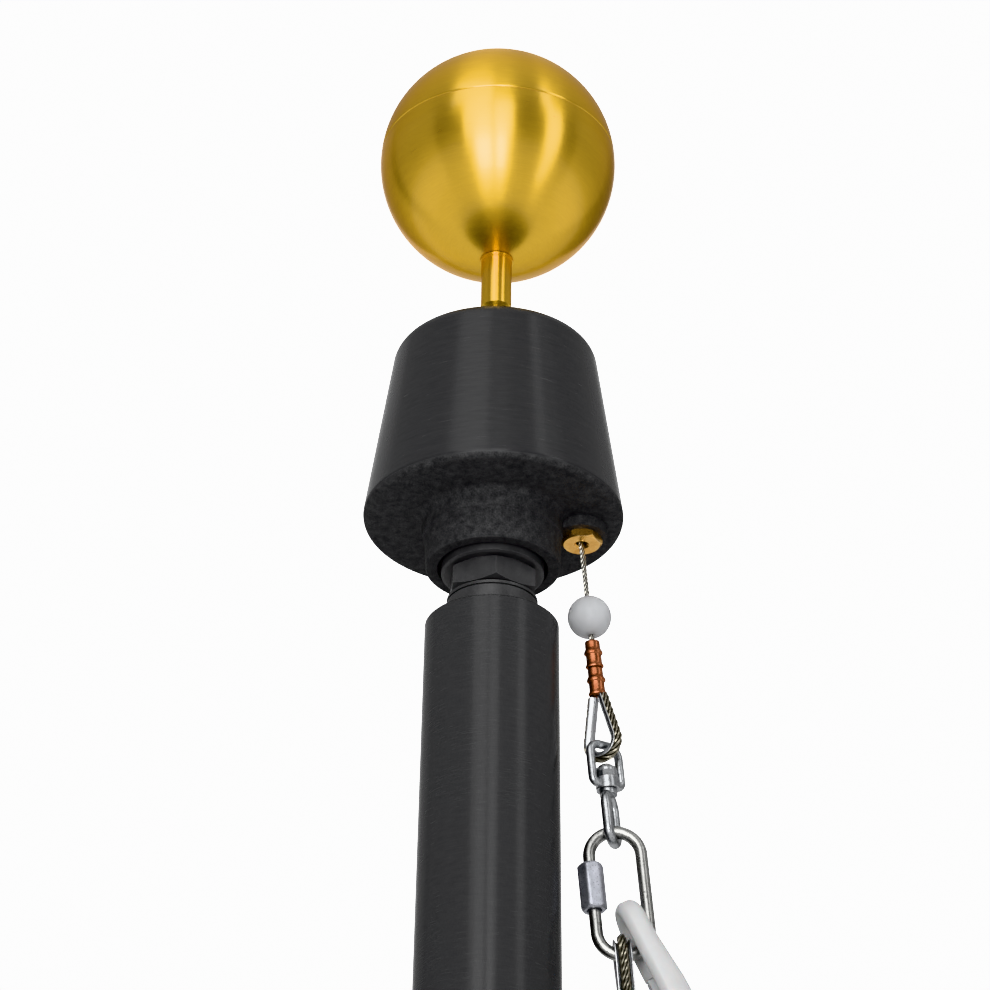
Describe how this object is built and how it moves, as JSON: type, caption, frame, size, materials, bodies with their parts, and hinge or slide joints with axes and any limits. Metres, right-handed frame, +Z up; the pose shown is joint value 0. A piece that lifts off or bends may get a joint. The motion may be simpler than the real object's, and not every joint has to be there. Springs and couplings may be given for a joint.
{
  "type": "flagpole head with revolving truck",
  "caption": "Top of a tapered flagpole with a revolving truck, gold ball finial and an internal halyard that ends in a swivel, quick link, wire eye and flag snap.",
  "frame": {"origin": "centre of the pole section's lower end face", "axes": "+Z up the pole's axis, +X towards the halyard's side, so +Y is a quarter turn to the left of +X"},
  "size_m": [0.1968, 0.1504, 0.7596],
  "materials": {
    "dark_anodised": "satin dark bronze-black anodised tube with fine turned brushing",
    "dark_cast": "dark coated casting, brushed on its cone and rough on its underside",
    "dark_steel": "black coated turned steel",
    "gold_anodised": "satin gold anodised, lathe-spun",
    "brass": "turned brass, lightly tarnished",
    "wire_rope": "stranded wire rope with dark grease between strands",
    "bead": "translucent nylon",
    "copper": "pressed copper with dark tarnish in the waists",
    "zinc_steel": "zinc plated, bright where it rubs",
    "link_steel": "plated rod with fine pitting",
    "white_plastic": "smooth moulded white plastic"
  },
  "bodies": {
    "pole": {"pole_tube": "dark_anodised", "pole_plug": "dark_anodised", "spindle_collar": "dark_steel", "spindle_hex": "dark_steel", "spindle_journal": "dark_steel", "bearing_ring": "dark_steel"},
    "truck": {"truck_casting": "dark_cast", "cable_bushing": "brass", "stem_nut": "gold_anodised", "ball_stem": "gold_anodised", "ball_collar": "gold_anodised", "ball_lower": "gold_anodised", "ball_upper": "gold_anodised"},
    "halyard": {"halyard_cable": "wire_rope", "stop_bead": "bead", "crimp_upper": "copper", "crimp_lower": "copper", "thimble": "zinc_steel", "eye_rope": "wire_rope"},
    "bail": {"swivel_bail": "zinc_steel"},
    "swivel": {"swivel_head": "zinc_steel", "swivel_eye": "zinc_steel"},
    "link": {"quick_link": "link_steel"},
    "link_nut": {"quick_link_nut": "link_steel"},
    "lower_line": {"lower_thimble": "zinc_steel", "lower_eye_rope": "wire_rope", "lower_crimp": "copper"},
    "snap": {"snap_body": "white_plastic", "snap_gate": "white_plastic", "snap_pin": "zinc_steel"}
  },
  "joints": [
    {"name": "truck_spin", "type": "hinge", "parent": "pole", "child": "truck", "pos_m": [0, 0, 0.42], "axis": [0, 0, 1], "continuous": true},
    {"name": "halyard_hoist", "type": "slide", "parent": "truck", "child": "halyard", "axis": [-0.0889, 0, 0.996], "range_m": [0, 0.033]},
    {"name": "bail_swing", "type": "hinge", "parent": "halyard", "child": "bail", "pos_m": [0.06307, 0.0025, 0.28074], "axis": [0.8159, -0.5736, 0.0728], "range_deg": [0, 25]},
    {"name": "swivel_spin", "type": "hinge", "parent": "bail", "child": "swivel", "pos_m": [0.06467, 0.0025, 0.26281], "axis": [-0.0889, 0, 0.996], "range_deg": [-90, 90]},
    {"name": "link_swing", "type": "hinge", "parent": "swivel", "child": "link", "pos_m": [0.06777, 0.0025, 0.22805], "axis": [-0.3407, -0.9397, -0.0304], "range_deg": [0, 25]},
    {"name": "nut_travel", "type": "slide", "parent": "link", "child": "link_nut", "axis": [0.0889, 0, -0.996], "range_m": [0, 0.0068]},
    {"name": "lower_eye_swing", "type": "hinge", "parent": "link", "child": "lower_line", "pos_m": [0.07366, 0.0025, 0.16206], "axis": [0.996, 0, 0.0889], "range_deg": [-25, 25]},
    {"name": "snap_swing", "type": "hinge", "parent": "link", "child": "snap", "pos_m": [0.07399, 0.0025, 0.18824], "axis": [0, -1, 0], "range_deg": [0, 25]}
  ]
}
